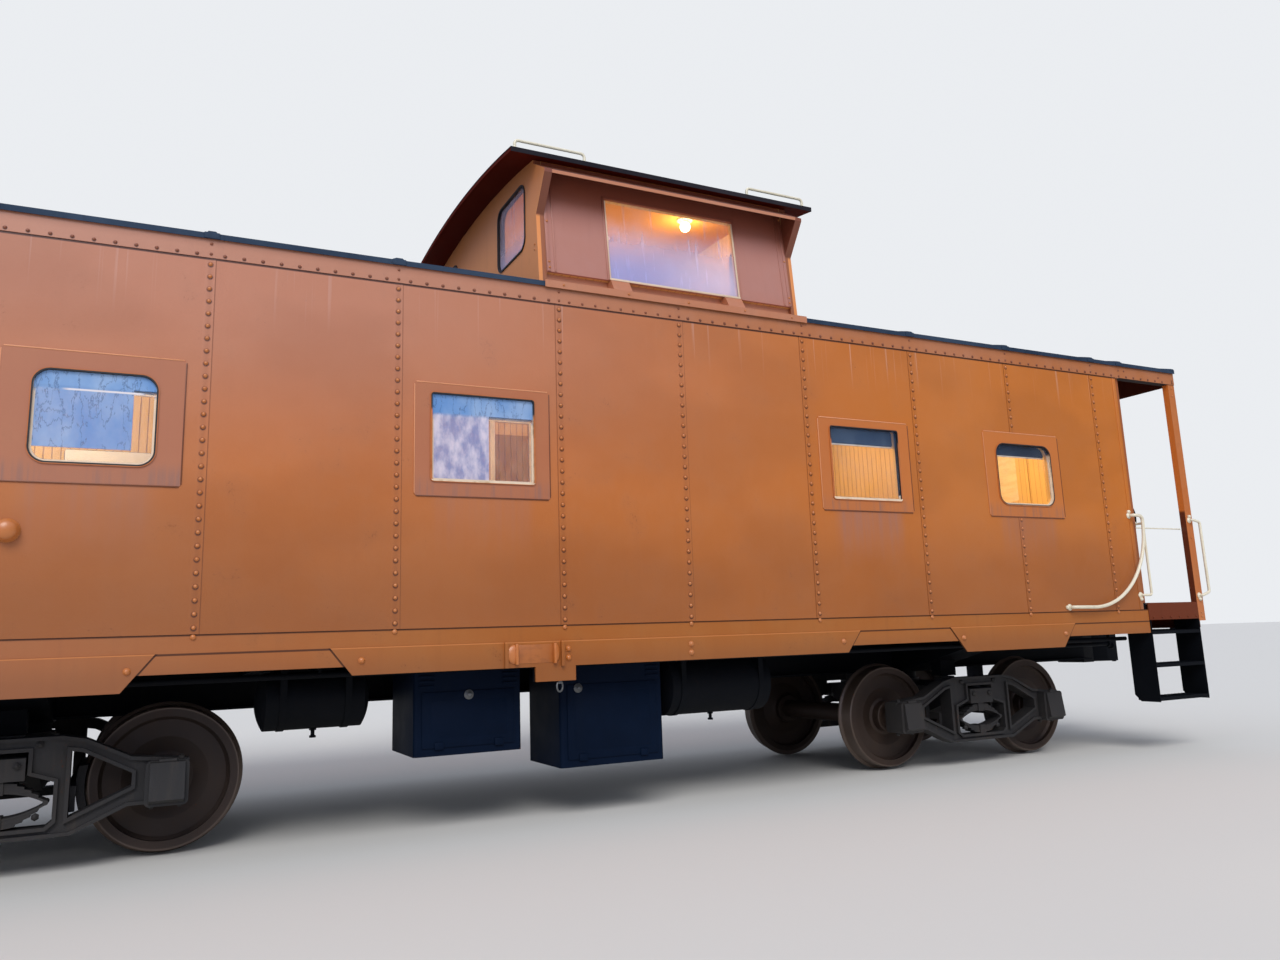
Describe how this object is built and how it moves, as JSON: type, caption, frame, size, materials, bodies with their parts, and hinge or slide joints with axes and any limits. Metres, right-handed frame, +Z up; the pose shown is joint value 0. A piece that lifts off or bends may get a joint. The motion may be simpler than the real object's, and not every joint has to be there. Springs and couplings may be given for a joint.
{
  "type": "caboose",
  "caption": "Steel railway caboose with a raised cupola, an arched roof running over open end platforms, side windows, steps, grab irons and cast swivelling trucks.",
  "frame": {"origin": "bottom centre of the bounding box, at the underside of the wheel flanges", "axes": "+X along the car to its front end, +Y to its left side, +Z up"},
  "size_m": [13.44, 3.2, 4.7898],
  "materials": {
    "body_paint": "faded orange-red paint",
    "end_paint": "faded orange-brown paint",
    "roof_paint": "weathered dark grey paint",
    "underframe_paint": "dusty black paint",
    "deck_paint": "worn dark paint",
    "interior_paint": "pale painted lining",
    "grab_paint": "cream paint",
    "rim_rubber": "aged black rubber",
    "pane_glass": "clear, dusty",
    "lamp_cover": "translucent white",
    "coupler_iron": "rusty casting",
    "truck_iron": "dusty casting",
    "spring_steel": "dusty spring steel",
    "wheel_steel": "brown oxide, bright tread"
  },
  "bodies": {
    "body": {"floor": "interior_paint", "side_wall_right": "body_paint", "side_wall_left": "body_paint", "letterboards": "body_paint", "hood_ends": "body_paint", "end_wall_front": "end_paint", "end_wall_rear": "end_paint", "roof": "roof_paint", "roof_strips": "roof_paint", "window_plates": "body_paint", "window_rims": "rim_rubber", "window_glass": "pane_glass", "cupola_ends": "body_paint", "cupola_sides": "body_paint", "cupola_sills": "body_paint", "cupola_visors": "body_paint", "cupola_roof": "roof_paint", "centre_sill": "underframe_paint", "cross_bearers": "underframe_paint", "body_bolsters": "underframe_paint", "side_sills": "body_paint", "platform_front": "deck_paint", "platform_rear": "deck_paint", "step_sides": "underframe_paint", "step_treads": "underframe_paint", "end_posts": "body_paint", "end_railings": "grab_paint", "ladders": "grab_paint", "grab_irons": "grab_paint", "brake_wheels": "underframe_paint", "couplers": "coupler_iron", "equipment_boxes": "underframe_paint", "air_tanks": "underframe_paint", "partitions": "interior_paint", "lamps": "lamp_cover"},
    "end_door_front": {"door_front": "end_paint", "door_glass_front": "pane_glass"},
    "truck_front": {"truck_frames_front": "truck_iron", "truck_bolster_front": "truck_iron", "truck_springs_front": "spring_steel", "brake_gear_front": "truck_iron"},
    "wheelset_1_body": {"wheelset_1": "wheel_steel"},
    "wheelset_2_body": {"wheelset_2": "wheel_steel"},
    "end_door_rear": {"door_rear": "end_paint", "door_glass_rear": "pane_glass"},
    "truck_rear": {"truck_frames_rear": "truck_iron", "truck_bolster_rear": "truck_iron", "truck_springs_rear": "spring_steel", "brake_gear_rear": "truck_iron"},
    "wheelset_3_body": {"wheelset_3": "wheel_steel"},
    "wheelset_4_body": {"wheelset_4": "wheel_steel"}
  },
  "joints": [
    {"name": "end_door_front_hinge", "type": "hinge", "parent": "body", "child": "end_door_front", "pos_m": [5.295, 0.385, 2.3], "axis": [0, 0, -1], "range_deg": [0, 95]},
    {"name": "truck_front_swivel", "type": "hinge", "parent": "body", "child": "truck_front", "pos_m": [3.64, 0, 0.69], "axis": [0, 0, 1], "range_deg": [-4, 4]},
    {"name": "wheelset_1_axle", "type": "hinge", "parent": "truck_front", "child": "wheelset_1_body", "pos_m": [4.478, 0, 0.444], "axis": [0, 1, 0], "continuous": true},
    {"name": "wheelset_2_axle", "type": "hinge", "parent": "truck_front", "child": "wheelset_2_body", "pos_m": [2.802, 0, 0.444], "axis": [0, 1, 0], "continuous": true},
    {"name": "end_door_rear_hinge", "type": "hinge", "parent": "body", "child": "end_door_rear", "pos_m": [-5.295, -0.385, 2.3], "axis": [0, 0, -1], "range_deg": [0, 95]},
    {"name": "truck_rear_swivel", "type": "hinge", "parent": "body", "child": "truck_rear", "pos_m": [-3.64, 0, 0.69], "axis": [0, 0, 1], "range_deg": [-4, 4]},
    {"name": "wheelset_3_axle", "type": "hinge", "parent": "truck_rear", "child": "wheelset_3_body", "pos_m": [-2.802, 0, 0.444], "axis": [0, 1, 0], "continuous": true},
    {"name": "wheelset_4_axle", "type": "hinge", "parent": "truck_rear", "child": "wheelset_4_body", "pos_m": [-4.478, 0, 0.444], "axis": [0, 1, 0], "continuous": true}
  ]
}
